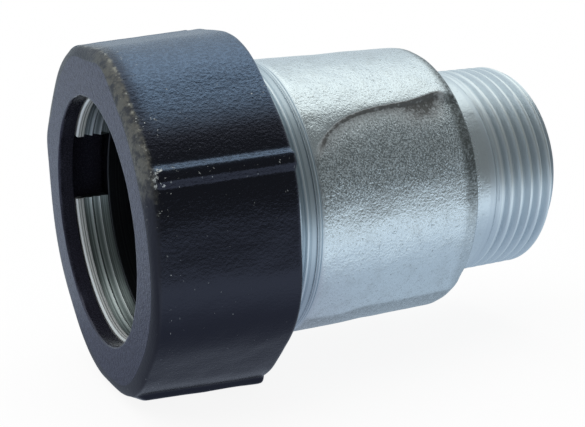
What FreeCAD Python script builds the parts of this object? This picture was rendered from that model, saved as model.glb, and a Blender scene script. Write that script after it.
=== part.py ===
import FreeCAD, Part
import math
import os
import Sketcher

# Compression coupling for plain steel pipe, with a tapered male thread at the outlet.
# The pipe axis is X: x = 0 is the front face of the nut and the outlet lies at +X. Z is up.

# Pipe and the way in
pipe_radius = 21.2  # outside radius of the pipe
entry_play = 1.34  # radial room for the pipe in the lip of the nut
lip_length = 2.9  # length of the lip of the nut

# Union nut
nut_length = 25.4  # length of the nut
half_flats = 30.95  # half the width across flats at the front
nut_draft = 3.4  # draft of the nut's outside, degrees
corner_round = 22.0  # radius of the eight soft corners
face_radius = 28.85  # outer radius of the flat front face
front_rise = 2.3  # radial size of the bevel on the front edge
front_depth = 1.65  # axial size of that bevel
rear_chamfer = 0.8  # chamfer of the rear edge
rib_height = 1.0  # height of a rib over its corner
rib_crest = 2.6  # width of a rib at its crest
rib_width = 3.6  # width of a rib at the surface of its corner
rib_fillet = 0.8  # fillet at the foot of a rib
rib_turn = 67.5  # turn of the first rib about the axis, from +Y to +Z, degrees
cone_angle = 15.0  # half angle of the cone that closes the clamp ring, degrees
cone_play = 0.3  # radial gap between that cone and the clamp ring

# Clamp ring
ring_play = 0.25  # gap between the lip of the nut and the clamp ring
ring_length = 6.6  # length of the clamp ring
ring_bore_play = 1.1  # radial room for the pipe in the open clamp ring
ring_wall = 2.2  # wall of the clamp ring at its small end
ring_land = 1.5  # plain land before the teeth
ring_lead = 0.35  # chamfer at the mouth of the clamp ring
tooth_depth = 0.7  # depth of a tooth
slot_angle = 35.0  # opening of the slot in the clamp ring, degrees
slot_turn = 107.5  # turn of the slot about the axis, from -Z to +Y, degrees

# Pressure ring and seal
push_length = 4.3  # length of the pressure ring
push_play = 1.0  # radial room for the pipe in the pressure ring
seal_length = 10.0  # length of the seal
seal_play = 0.7  # radial room for the pipe in the loose seal
mouth_play = 0.3  # gap round the pressure ring and the seal in the mouth
tighten_stroke = 3.0  # travel of the nut from finger tight to fully tight
front_play = 0.6  # gap left in front of the body when fully tight

# Mouth, thread and turned band of the fitting body
mouth_radius = 24.9  # bore of the mouth that holds the seal
mouth_lead = 0.6  # chamfer of the mouth
thread_radius = 27.4  # mean radius of the thread under the nut
thread_play = 0.1  # radial play of the nut on that thread
thread_length = 15.2  # length of that thread
thread_lead = 1.0  # chamfer at the start of that thread
relief_width = 0.9  # width of the run-out groove behind the thread
relief_radius = 25.9  # radius of the run-out groove
band_radius = 26.2  # radius of the turned band
band_length = 3.1  # length of the turned band

# Cast barrel, shoulder and outlet
barrel_radius = 26.35  # radius of the cast barrel
barrel_length = 33.8  # length of the cast barrel up to the shoulder
shoulder_round = 3.0  # rounding of the shoulder, which two bevels follow
bevel_turn = 45.0  # where the two bevels meet, on the arc that they follow, degrees
neck_radius = 20.85  # radius of the neck
neck_fillet = 1.3  # fillet between shoulder and neck, which one bevel follows
outlet_length = 21.25  # length of the outlet past the shoulder
outlet_thread = 14.7  # length of the outlet's thread
outlet_pitch = 2.309  # pitch of the outlet's thread
outlet_depth = 1.43  # depth of the grooves in the outlet's thread
gauge_radius = 20.955  # radius of the outlet's thread at its gauge plane
gauge_length = 12.7  # distance of the gauge plane from the outlet's end
end_length = 1.57  # distance of the last crest of the outlet's thread from its end
end_chamfer = 0.9  # radial size of the chamfer from that crest to the end
socket_radius = 21.6  # bore for the pipe in the body
socket_depth = 34.0  # depth of that bore behind the seal's seat
water_radius = 17.3  # radius of the waterway in the outlet

# Shallow fields on the two sides of the barrel
field_half = 18.6  # half height of a side field
field_offset = 1.6  # distance of the start of the field's cut before the cast barrel
field_length = 39.0  # length of the cut that makes a field
field_slope = 3.5  # slope of that cut towards the axis, degrees
field_rise = 0.7  # height of the cut over the barrel at its edges, where it starts


class Size:
    """A size: its present value, and the expression that keeps it tied to the sheet."""

    def __init__(self, value, text):
        self.value = float(value)
        self.text = text

    def __add__(self, other):
        other = as_size(other)
        return Size(self.value + other.value, "(%s + %s)" % (self.text, other.text))

    def __sub__(self, other):
        other = as_size(other)
        return Size(self.value - other.value, "(%s - %s)" % (self.text, other.text))

    def __mul__(self, other):
        other = as_size(other)
        return Size(self.value * other.value, "(%s * %s)" % (self.text, other.text))

    def __truediv__(self, other):
        other = as_size(other)
        return Size(self.value / other.value, "(%s / %s)" % (self.text, other.text))

    def __radd__(self, other):
        return as_size(other) + self

    def __rsub__(self, other):
        return as_size(other) - self

    def __rmul__(self, other):
        return as_size(other) * self

    def __neg__(self):
        return 0 - self


def as_size(thing):
    return thing if isinstance(thing, Size) else Size(thing, "%.6f" % thing)


def cos(angle):
    angle = as_size(angle)
    return Size(math.cos(math.radians(angle.value)), "cos(%s)" % angle.text)


def sin(angle):
    angle = as_size(angle)
    return Size(math.sin(math.radians(angle.value)), "sin(%s)" % angle.text)


def tan(angle):
    angle = as_size(angle)
    return Size(math.tan(math.radians(angle.value)), "tan(%s)" % angle.text)


def root(square):
    return Size(math.sqrt(square.value), "sqrt(%s)" % square.text)


# Each size above goes into the sheet, and from here on its name stands for that cell
driving = {alias: value for alias, value in vars().items() if isinstance(value, float)}
doc = FreeCAD.newDocument("coupling")
sheet = doc.addObject("Spreadsheet::Sheet", "Sizes")
for row, (alias, value) in enumerate(driving.items(), 1):
    sheet.set("A%d" % row, alias)
    sheet.set("B%d" % row, str(value))
    sheet.setAlias("B%d" % row, alias)
sheet.recompute()
vars().update({alias: Size(sheet.get(alias), "Sizes." + alias) for alias in driving})

flat_count = 8
rib_count = 4
tooth_count = 3
field_count = 2
fading_count = 3  # which groove of the outlet's thread, counted from the neck, has the full depth
outlet_taper = 1 / 32  # change of radius along the outlet's thread
clear = 1.0  # how far a cutting outline reaches past what it cuts
most = 0.9  # share of the nut's length that an edge along it has at least
near = 0.25  # share of a rib's height within which its foot lies

# Radii and stations along the axis that more than one piece shares
lip_bore = pipe_radius + entry_play
ring_bore = pipe_radius + ring_bore_play
nut_bore = thread_radius + thread_play
ring_front = lip_length + ring_play
ring_back = ring_front + ring_length
push_back = ring_back + push_length
seat = push_back + seal_length
body_front = ring_back + tighten_stroke + front_play
thread_end = body_front + thread_length
relief_end = thread_end + relief_width
band_end = relief_end + band_length
shoulder = band_end + barrel_length
outlet_end = shoulder + outlet_length
pipe_stop = seat + socket_depth


def soft_corner(flats):
    """Radius of a soft corner of the octagon with this half width across flats."""
    return (flats - corner_round) / cos(180 / flat_count) + corner_round


def new_body(name):
    body = doc.addObject("PartDesign::Body", name)
    body.Label = name
    return body


def origin_part(body, role):
    for feature in body.Origin.OriginFeatures:
        if feature.Role == role:
            return feature
    raise ValueError(role)


def sketch(body, name, role, corners, arcs=None, station=None):
    """A closed outline on one of the body's planes, with each corner held by two sizes.

    arcs maps the number of a side to its radius and the side on which it bulges: +1 to the
    left of its direction of travel, -1 to the right. station moves the plane along X.
    """
    arcs = arcs or {}
    made = body.newObject("Sketcher::SketchObject", name)
    made.AttachmentSupport = [(origin_part(body, role), "")]
    made.MapMode = "FlatFace"
    if station is not None:
        made.setExpression(".AttachmentOffset.Base.z", station.text)
    corners = [(as_size(across), as_size(up)) for across, up in corners]
    points = [FreeCAD.Vector(across.value, up.value, 0) for across, up in corners]
    count = len(points)
    for side, start in enumerate(points):
        end = points[(side + 1) % count]
        if side not in arcs:
            made.addGeometry(Part.LineSegment(start, end), False)
            continue
        radius, bulge = arcs[side]
        chord = end - start
        height = radius.value - math.sqrt(radius.value ** 2 - chord.Length ** 2 / 4)
        left = FreeCAD.Vector(-chord.y, chord.x, 0).normalize()
        made.addGeometry(Part.Arc(start, (start + end) * 0.5 + left * (bulge * height), end), False)
    first = [1 if made.getPoint(side, 1).isEqual(points[side], 1e-6) else 2 for side in range(count)]
    for side in range(count):
        after = (side + 1) % count
        made.addConstraint(Sketcher.Constraint("Coincident", side, 3 - first[side], after, first[after]))
    for side, corner in enumerate(corners):
        for kind, size in zip(("DistanceX", "DistanceY"), corner):
            held = Sketcher.Constraint(kind, -1, 1, side, first[side], size.value)
            made.setExpression("Constraints[%d]" % made.addConstraint(held), size.text)
    for side, (radius, bulge) in arcs.items():
        held = Sketcher.Constraint("Radius", side, radius.value)
        made.setExpression("Constraints[%d]" % made.addConstraint(held), radius.text)
    return made


def turn(body, kind, name, corners):
    """Revolve an outline of stations and radii about the pipe axis, to add or to cut."""
    outline = sketch(body, name + "_outline", "XZ_Plane", corners)
    made = body.newObject("PartDesign::" + kind, name)
    made.Profile = outline
    made.ReferenceAxis = (outline, ["H_Axis"])
    made.Angle = 360
    return made


def loft(body, kind, name, sections):
    made = body.newObject("PartDesign::" + kind, name)
    made.Profile = sections[0]
    made.Sections = sections[1:]
    made.Ruled = True
    return made


def round_edges(body, name, radius, chosen):
    """Fillet the edges of the body's solid that chosen picks."""
    doc.recompute()
    base = body.Tip
    names = ["Edge%d" % (i + 1) for i, edge in enumerate(base.Shape.Edges) if chosen(edge)]
    made = body.newObject("PartDesign::Fillet", name)
    made.Base = (base, names)
    made.setExpression("Radius", radius.text)


def around(body, name, feature, count):
    """Repeat a feature evenly about the pipe axis."""
    made = body.newObject("PartDesign::PolarPattern", name)
    made.Originals = [feature]
    made.Axis = (origin_part(body, "X_Axis"), [""])
    made.Angle = 360
    made.Occurrences = count
    body.Tip = made


def turn_body(body, angle):
    body.setExpression(".Placement.Rotation.Axis.x", "1")
    body.setExpression(".Placement.Rotation.Axis.z", "0")
    body.setExpression(".Placement.Rotation.Angle", angle.text)


def make_union_nut():
    body = new_body("union_nut")
    rear_flats = half_flats + nut_length * tan(nut_draft)

    # The drafted octagon, smaller at the front, with its eight corners rounded off softly
    reach = half_flats / cos(180 / flat_count)
    turns = [360 / flat_count * i for i in range(flat_count)]
    octagon = sketch(body, "octagon", "YZ_Plane", [(reach * cos(a), reach * sin(a)) for a in turns])
    blank = body.newObject("PartDesign::Pad", "blank")
    blank.Profile = octagon
    blank.setExpression("Length", nut_length.text)
    blank.setExpression("TaperAngle", nut_draft.text)

    def runs_along(edge):
        """Whether an edge goes from the front of the blank to its rear."""
        return edge.BoundBox.XLength > nut_length.value * most

    round_edges(body, "soft_corners", corner_round, runs_along)

    # A rib along every second corner, filleted into it
    sections = []
    for name, flats, station in (
        ("rib_front", half_flats, as_size(0)),
        ("rib_rear", rear_flats, nut_length),
    ):
        corner = soft_corner(flats)
        foot = rib_width - rib_crest / 2
        trapezium = [(corner - rib_height, -foot), (corner + rib_height, -rib_crest / 2)]
        trapezium += [(corner + rib_height, rib_crest / 2), (corner - rib_height, foot)]
        sections.append(sketch(body, name, "YZ_Plane", trapezium, station=station))
    around(body, "ribs", loft(body, "AdditiveLoft", "rib", sections), rib_count)
    middle_corner = soft_corner((half_flats + rear_flats) / 2)

    def at_foot(edge):
        """Whether an edge runs along the foot of a rib, where it meets its corner."""
        middle = edge.valueAt((edge.FirstParameter + edge.LastParameter) / 2)
        off = math.hypot(middle.y, middle.z) - middle_corner.value
        return runs_along(edge) and abs(off) < rib_height.value * near

    round_edges(body, "rib_feet", rib_fillet, at_foot)

    # A bevel on the front edge, a chamfer on the rear edge, and the sloped ends of the ribs
    over = soft_corner(rear_flats) + rib_height + clear
    rim = face_radius + front_rise
    corners = [(-clear, face_radius), (0, face_radius), (front_depth, rim)]
    corners += [(front_depth + (over - rim) / 2, over), (-clear, over)]
    turn(body, "Groove", "front_edge", corners)
    full = soft_corner(rear_flats)
    rear_start = nut_length - rear_chamfer
    corners = [(nut_length + clear, full - rear_chamfer), (nut_length + clear, over)]
    corners += [(rear_start - (over - full) / 2, over), (rear_start, full)]
    corners += [(nut_length, full - rear_chamfer)]
    turn(body, "Groove", "rear_edge", corners)

    # The way in, the cone behind the lip, and the bore of the thread
    cone_back = ring_back + ring_play / 2
    cone_front_radius = ring_bore + ring_wall + cone_play - ring_play * tan(cone_angle)
    cone_back_radius = cone_front_radius + (cone_back - lip_length) * tan(cone_angle)
    corners = [(-clear, 0), (-clear, lip_bore), (lip_length, lip_bore), (lip_length, cone_front_radius)]
    corners += [(cone_back, cone_back_radius), (cone_back, nut_bore), (nut_length - thread_lead, nut_bore)]
    corners += [(nut_length + clear, nut_bore + thread_lead + clear), (nut_length + clear, 0)]
    turn(body, "Groove", "inside", corners)
    turn_body(body, rib_turn)
    return body


def make_clamp_ring():
    body = new_body("clamp_ring")
    pitch = (ring_length - ring_land) / tooth_count
    start = ring_front + ring_land
    corners = [(ring_front, ring_bore + ring_lead), (ring_front + ring_lead, ring_bore), (start, ring_bore)]
    for i in range(tooth_count):
        corners.append((start + pitch * i, ring_bore + tooth_depth))
        corners.append((start + pitch * (i + 1), ring_bore))
    corners.append((ring_back, ring_bore + ring_wall + ring_length * tan(cone_angle)))
    corners.append((ring_front, ring_bore + ring_wall))
    ring = turn(body, "Revolution", "toothed_ring", corners)
    ring.Midplane = True
    ring.setExpression("Angle", (360 - slot_angle).text)
    turn_body(body, slot_turn)
    return body


def make_plain_ring(name, front, back, play):
    """The pressure ring or the seal, which share the mouth of the body."""
    body = new_body(name)
    inner = pipe_radius + play
    outer = mouth_radius - mouth_play
    corners = [(front, inner), (back, inner), (back, outer), (front, outer)]
    turn(body, "Revolution", name + "_turned", corners)
    return body


def crest_radius(station):
    """Radius of the outlet's taper thread at its crests."""
    return gauge_radius + (outlet_end - gauge_length - station) * outlet_taper


def thread_ridges():
    """Corners of the outlet's thread, as rings: as many grooves and ridges as its length takes.

    The first grooves fade out towards the neck, as the cut of a die does.
    """
    count = int((outlet_thread - end_length).value / outlet_pitch.value + 0.5)
    corners = []
    for i in range(count):
        crest = outlet_end - end_length - outlet_pitch * (count - 1 - i)
        groove = crest - outlet_pitch / 2
        cut = min(i + 1, fading_count) / fading_count
        corners += [(groove, crest_radius(groove) - outlet_depth * cut), (crest, crest_radius(crest))]
    return corners


def make_fitting_body():
    body = new_body("fitting_body")

    # Outside from the mouth to the outlet, then back through the waterway and the socket
    corners = [(body_front, mouth_radius + mouth_lead), (body_front, thread_radius - thread_lead)]
    corners += [(body_front + thread_lead, thread_radius), (thread_end, thread_radius)]
    corners += [(thread_end, relief_radius), (relief_end, relief_radius)]
    corners += [(relief_end, band_radius), (band_end, band_radius), (band_end, barrel_radius)]
    before_bevel = shoulder_round * (1 - sin(bevel_turn))
    under_barrel = shoulder_round * (1 - cos(bevel_turn))
    corners += [(shoulder - shoulder_round, barrel_radius)]
    corners += [(shoulder - before_bevel, barrel_radius - under_barrel)]
    corners += [(shoulder, barrel_radius - shoulder_round)]
    corners += [(shoulder, neck_radius + neck_fillet), (shoulder + neck_fillet, neck_radius)]
    corners += [(outlet_end - outlet_thread, neck_radius)]
    corners += thread_ridges()
    corners += [(outlet_end, crest_radius(outlet_end - end_length) - end_chamfer)]
    corners += [(outlet_end, water_radius), (pipe_stop, water_radius)]
    corners += [(pipe_stop, socket_radius), (seat, socket_radius), (seat, mouth_radius)]
    corners += [(body_front + mouth_lead, mouth_radius)]
    turn(body, "Revolution", "casting", corners)

    # A shallow field on each side of the barrel: a shallow arc cut on a slope, deepest at the shoulder
    barrel_edge = root(barrel_radius * barrel_radius - field_half * field_half)
    edge = barrel_edge + field_rise
    crown = barrel_radius - edge
    radius = (field_half * field_half + crown * crown) / (crown * 2)
    outside = barrel_radius + field_length * tan(field_slope) + clear
    corners = [(edge, -field_half), (edge, field_half), (outside, field_half), (outside, -field_half)]
    outline = sketch(body, "field_outline", "YZ_Plane", corners, {0: (radius, -1)}, band_end - field_offset)
    outline.setExpression(".AttachmentOffset.Rotation.Axis.y", "1")
    outline.setExpression(".AttachmentOffset.Rotation.Axis.z", "0")
    outline.setExpression(".AttachmentOffset.Rotation.Angle", (-field_slope).text)
    field = body.newObject("PartDesign::Pocket", "field")
    field.Profile = outline
    field.Reversed = True
    field.setExpression("Length", field_length.text)
    around(body, "fields", field, field_count)
    return body


def main():
    pieces = [make_union_nut(), make_clamp_ring()]
    pieces.append(make_plain_ring("pressure_ring", ring_back, push_back, push_play))
    pieces.append(make_plain_ring("seal_ring", push_back, seat, seal_play))
    pieces.append(make_fitting_body())
    doc.recompute()
    for item in doc.Objects:
        if "Invalid" in item.State or "Error" in item.State:
            raise RuntimeError("%s: %s" % (item.Name, item.State))
    for piece in pieces:
        if piece.Shape.isNull() or not piece.Shape.isValid():
            raise RuntimeError("%s has no valid shape" % piece.Label)
    os.makedirs("parts", exist_ok=True)
    for piece in pieces:
        piece.Shape.exportStep("parts/%s.step" % piece.Label)
        print("%s: %.1f mm3" % (piece.Label, piece.Shape.Volume))


main()
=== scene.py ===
import math
import bmesh
import bpy
import numpy as np
from mathutils import Matrix, Vector


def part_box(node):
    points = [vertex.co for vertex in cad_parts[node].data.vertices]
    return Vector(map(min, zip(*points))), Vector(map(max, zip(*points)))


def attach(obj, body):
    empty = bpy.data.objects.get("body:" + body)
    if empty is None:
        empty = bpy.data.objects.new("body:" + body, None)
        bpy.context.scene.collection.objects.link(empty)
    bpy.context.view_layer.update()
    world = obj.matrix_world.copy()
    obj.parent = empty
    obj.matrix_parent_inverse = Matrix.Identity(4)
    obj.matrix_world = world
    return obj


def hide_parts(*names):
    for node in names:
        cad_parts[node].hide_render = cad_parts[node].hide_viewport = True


# A compression coupling for plain steel pipe. Sizes are in millimetres, and each mesh is scaled to
# metres when it is made. The pipe axis is X, the nut's front face is at x = 0, and Z is up.
# A direction round the axis is an angle from -Y, the side of the camera, over +Z to +Y.

mm = 0.001  # one millimetre in metres
full = 2 * math.pi
seamAt = -2.0  # direction of the seam in the nut's and the body's skin, below and behind, in radians

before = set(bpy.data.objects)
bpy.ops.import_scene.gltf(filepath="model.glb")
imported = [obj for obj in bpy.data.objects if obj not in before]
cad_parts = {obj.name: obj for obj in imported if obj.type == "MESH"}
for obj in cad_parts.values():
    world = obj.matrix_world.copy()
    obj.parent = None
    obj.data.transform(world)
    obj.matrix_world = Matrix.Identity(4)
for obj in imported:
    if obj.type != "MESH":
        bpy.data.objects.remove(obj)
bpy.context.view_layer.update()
print("frame loaded:", ", ".join(sorted(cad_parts)))


# Where a node starts (0) or ends (1) along the axis, in millimetres
def station(node, end):
    return round(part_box(node)[end].x / mm, 3)


nutBack = station("union_nut", 1)
ringFront = station("clamp_ring", 0)
ringBack = station("clamp_ring", 1)
pushBack = station("pressure_ring", 1)
seat = station("seal_ring", 1)
bodyFront = station("fitting_body", 0)
outletEnd = station("fitting_body", 1)


# Eased step from 0 at low to 1 at high: 3t² - 2t³
def ease(low, high, value):
    t = np.clip((value - low) / (high - low), 0, 1)
    return t * t * (3 - 2 * t)


# A bump of height 1 round zero: e to the minus square of value / width
def hump(value, width):
    return np.exp(-((value / width) ** 2))


# The lower of two surfaces, with their crossing rounded: min(a, b) - max(width - |a - b|, 0)² / 4 width
def roundMin(a, b, width):
    return np.minimum(a, b) - np.maximum(width - np.abs(a - b), 0) ** 2 / (4 * width)


# The higher of two surfaces, rounded the same way
def roundMax(a, b, width):
    return -roundMin(-a, -b, width)


# How far an angle lies from a direction, the short way round
def awayFrom(angles, direction):
    return (angles - direction + math.pi) % full - math.pi


# 1 near a direction and 0 far from it, fading between two limits. Direction and limits are in degrees.
def nearTo(angles, direction, limits):
    low, high = [math.radians(limit) for limit in limits]
    return (1 - ease(low, high, np.abs(awayFrom(angles, math.radians(direction)))))[None, :]


# Angles once round from the seam, spaced by coarse, and by fine within half of each direction given
def columnsNear(directions, half, fine, coarse):
    fineGrid = np.linspace(seamAt, seamAt + full, 4000)
    density = np.full(fineGrid.shape, 1 / coarse)
    for direction in directions:
        off = np.abs(awayFrom(fineGrid, direction))
        density += (1 / fine - 1 / coarse) * (1 - ease(half * 0.85, half * 1.15, off))
    counted = np.concatenate([[0], np.cumsum((density[1:] + density[:-1]) / 2 * np.diff(fineGrid))])
    count = int(round(counted[-1]))
    return np.interp(np.linspace(0, counted[-1], count + 1), counted, fineGrid)


# A path through corners (x, r, rounding): each corner with a rounding becomes a short parabola that
# leaves its two sides at equal distances, and no two rows on a side are further apart than step
def roundedPath(corners, step, arcRows=5):
    points = np.array([corner[:2] for corner in corners], float)
    rows = [points[:1]]
    for i in range(1, len(points)):
        start = rows[-1][-1]
        end = points[i]
        arc = None
        if i < len(points) - 1 and corners[i][2] > 0:
            before = (points[i] - points[i - 1]) / np.linalg.norm(points[i] - points[i - 1])
            after = (points[i + 1] - points[i]) / np.linalg.norm(points[i + 1] - points[i])
            turned = math.acos(np.clip(before @ after, -1, 1))
            cut = corners[i][2] * math.tan(turned / 2)
            t = np.linspace(0, 1, arcRows)[:, None]
            first = points[i] - before * cut
            last = points[i] + after * cut
            arc = first * (1 - t) ** 2 + 2 * points[i] * t * (1 - t) + last * t**2
            end = first
        length = np.linalg.norm(end - start)
        inner = np.linspace(0, 1, max(2, int(math.ceil(length / step)) + 1))[1:]
        if length > 0.5:  # a support row near each end keeps the shading of a corner beside it
            inner = np.unique(np.concatenate([inner, [0.12 / length, 1 - 0.12 / length]]))
        rows.append(start + (end - start) * inner[:, None])
        if arc is not None:
            rows.append(arc[1:])
    return np.vstack(rows)


# Places of a thread's rows along its pitch, from one crest to the next, closest where it bends
pipePhases = [0, 0.055, 0.115, 0.2, 0.3, 0.385, 0.445, 0.5, 0.555, 0.615, 0.7, 0.8, 0.885, 0.945]
metricPhases = [0.06, 0.22, 0.40, 0.46, 0.54, 0.60, 0.78, 0.94]


# Stations of rows that follow a right-hand thread between first and last. Row k lies at
# crestAt + (offset k - angle / full) * pitch, held between the ends, so that it never crosses the thread.
def helixRows(first, last, crestAt, pitch, phases, angles):
    low = math.floor((first - crestAt) / pitch + angles[0] / full)
    high = math.ceil((last - crestAt) / pitch + angles[-1] / full)
    offsets = (np.arange(low, high)[:, None] + np.array(phases)[None, :]).ravel()
    x = crestAt + (offsets[:, None] - angles[None, :] / full) * pitch
    inside = (x.max(axis=1) > first) & (x.min(axis=1) < last)
    return np.clip(x[inside], first, last)


# Distance along the axis from the nearest crest of such a thread
def fromCrest(x, angles, crestAt, pitch):
    phase = (x - crestAt) / pitch + angles[None, :] / full
    return np.abs((phase + 0.5) % 1 - 0.5) * pitch


# Depth under the crest of a rounded 55 degree thread: an arc, a straight flank and an arc again
def pipeThreadDepth(along, pitch, rounding):
    flank = math.radians(27.5)
    reach = rounding * math.cos(flank)
    crest = rounding - np.sqrt(np.maximum(rounding**2 - np.minimum(along, reach) ** 2, 0))
    drop = rounding * (1 - math.sin(flank))
    depth = 2 * drop + (pitch / 2 - 2 * reach) / math.tan(flank)
    rest = pitch / 2 - along
    root = depth - rounding + np.sqrt(np.maximum(rounding**2 - np.minimum(rest, reach) ** 2, 0))
    straight = drop + (along - reach) / math.tan(flank)
    return np.where(along < reach, crest, np.where(rest < reach, root, straight))


# Depth under the crest of a 60 degree thread with narrow flats
def metricThreadDepth(along, pitch):
    height = 0.6134 * pitch
    flank = (along - pitch / 16) / math.tan(math.radians(30))
    return roundMin(roundMax(flank, np.zeros_like(flank), 0.06), np.full_like(flank, height), 0.12)


# Gentle unevenness of a cast skin: waves round and along the axis with seeded directions and phases,
# each going a whole number of times round. The shorter a wave, the lower it is.
def castWaves(x, angles, radius, longest, shortest, count, seed):
    rng = np.random.default_rng(seed)
    total = np.zeros(np.broadcast_shapes(x.shape, angles[None, :].shape))
    for length in np.geomspace(longest, shortest, count):
        heading = rng.uniform(0, full)
        phase = rng.uniform(0, full)
        around = round(full * radius / length * math.sin(heading))
        along = full / length * math.cos(heading)
        total += (length / longest) ** 0.8 * np.cos(along * x + around * angles[None, :] + phase)
    return total / math.sqrt(count / 2)


# A closed skin round the axis: row k and column j lie at (x, -r cos angle, r sin angle). The rows close on
# themselves, the first and last columns are welded, or capped where the piece is split.
def makeSkin(name, x, r, angles, masks, split=False):
    rows, columns = x.shape
    co = np.stack([x, -r * np.cos(angles), r * np.sin(angles)], axis=-1).reshape(-1, 3) * mm
    k = np.arange(rows)[:, None]
    j = np.arange(columns - 1)[None, :]
    following = (k + 1) % rows
    corners = [k * columns + j, following * columns + j, following * columns + j + 1, k * columns + j + 1]
    quads = np.stack([np.broadcast_to(c, (rows, columns - 1)) for c in corners], axis=-1).reshape(-1, 4)
    mesh = bpy.data.meshes.new(name)
    mesh.from_pydata(co, [], quads)
    for mask, values in masks.items():
        layer = mesh.attributes.new(mask, "FLOAT", "POINT")
        layer.data.foreach_set("value", np.broadcast_to(values, x.shape).astype(np.float32).ravel())
    bm = bmesh.new()
    bm.from_mesh(mesh)
    bm.verts.ensure_lookup_table()
    if split:
        first = [bm.verts[i * columns] for i in range(rows)]
        last = [bm.verts[i * columns + columns - 1] for i in range(rows)]
        caps = [bm.faces.new(first), bm.faces.new(last[::-1])]
        bmesh.ops.triangulate(bm, faces=caps)
    bmesh.ops.remove_doubles(bm, verts=bm.verts, dist=2e-7)
    bmesh.ops.dissolve_degenerate(bm, edges=bm.edges, dist=1e-7)
    bm.to_mesh(mesh)
    bm.free()
    mesh.polygons.foreach_set("use_smooth", np.ones(len(mesh.polygons), bool))
    mesh.set_sharp_from_angle(angle=math.radians(48))
    made = bpy.data.objects.new(name, mesh)
    bpy.context.scene.collection.objects.link(made)
    triangles = sum(len(p.vertices) - 2 for p in mesh.polygons)
    print("made", name, "with", triangles, "triangles")
    return made


# Rows of a path as arrays for all columns
def rowsOf(path, angles):
    x = np.repeat(path[:, :1], len(angles), axis=1)
    r = np.repeat(path[:, 1:], len(angles), axis=1)
    return x, r


# Parts of a profile (x, r, masks) put one after another, with a mask 0 where a part doesn't name it
def joinParts(parts, masks):
    x = np.vstack([part[0] for part in parts])
    r = np.vstack([part[1] for part in parts])
    joined = {name: np.vstack([part[2].get(name, 0) + 0 * part[0] for part in parts]) for name in masks}
    return x, r, joined


nut = dict(
    halfFlats=30.95, draft=math.radians(3.4), cornerRound=22.0, faceRadius=28.75,
    faceRises=[
        (68, 1.7, 11), (100, 0.9, 12), (157, 1.9, 9), (215, -0.4, 22),
        (292, 0.8, 14), (340, 0.7, 22), (24, -0.35, 10),
    ],
    edgeFullness=1.45, edgeSlope=1.6, edgeRound=0.3, edgeNarrow=0.8, edgeWide=1.5,
    edgeMiddle=math.radians(60), edgeSoft=math.radians(13),
    wideFrom=math.radians(4), wideTo=math.radians(118),
    ribs=4, ribAt=math.radians(22.5), ribTop=1.0, ribFlat=0.7, ribFlank=1.35, ribFrom=0.4, ribStart=3.2,
    rearRound=0.9, rearOuter=30.9, rearInner=29.0, rearChamfer=1.1,
    lipBore=22.54, lipBack=2.9, coneFront=24.73, coneBack=26.6, coneEnd=9.875,
    minor=26.92, major=28.0, pitch=2.0, threadAt=0.0,
    waveHeight=0.045, edgeWaveHeight=0.05, raggedHeight=0.09, seed=5,
    fineHalf=math.radians(6.3), fine=math.radians(0.36), coarse=math.radians(1.0),
    # Where its masks lie: directions and their limits in degrees, lengths in millimetres
    masks=dict(
        # top places the painted sheen, topLoss takes it off behind the front edge, and glint places the
        # painted highlight
        topAt=90, upper=(64, 92), top=(40, 58), topLoss=0.75, topLossAt=0.6, topLossWidth=1.5,
        crownAt=108, crown=(14, 48), bevelBefore=0.1, bevelAfter=0.5,
        outlineWidth=0.35, glintWidth=0.55, glintFrom=0.5, glintTo=3.0,
    ),
)


# Radius of the drafted octagon with soft corners. Within a flat it is h / cos t, with t the angle from the
# flat's middle, and past it the distance to a circle about the corner's centre.
def octagonRadius(x, angles):
    flats = nut["halfFlats"] + x * math.tan(nut["draft"])
    off = np.abs((angles + full / 16) % (full / 8) - full / 16)[None, :]
    centre = (flats - nut["cornerRound"]) / math.cos(full / 16)
    past = full / 16 - off
    corner = centre * np.cos(past) + np.sqrt(nut["cornerRound"] ** 2 - (centre * np.sin(past)) ** 2)
    onFlat = np.tan(off) <= (flats - nut["cornerRound"]) * math.tan(full / 16) / flats
    return np.where(onFlat, flats / np.cos(off), corner)


# Outer radius of the flat front face. The casting's front edge is uneven: the face reaches further out in
# some places and less far in others, each a bump (direction, rise, width) in degrees and millimetres.
def faceRadius(angles):
    radius = np.full(angles.shape, nut["faceRadius"])
    for direction, rise, width in nut["faceRises"]:
        radius = radius + rise * hump(awayFrom(angles, math.radians(direction)), math.radians(width))
    return radius


# Length of the front edge along the axis: wide on the upper side, narrow on the lower
def edgeLength(angles):
    turned = awayFrom(angles, nut["edgeMiddle"]) + nut["edgeMiddle"]
    soft = nut["edgeSoft"]
    wide = ease(nut["wideFrom"] - soft, nut["wideFrom"] + soft, turned)
    wide = wide * (1 - ease(nut["wideTo"] - soft, nut["wideTo"] + soft, turned))
    return nut["edgeNarrow"] + (nut["edgeWide"] - nut["edgeNarrow"]) * wide


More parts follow.
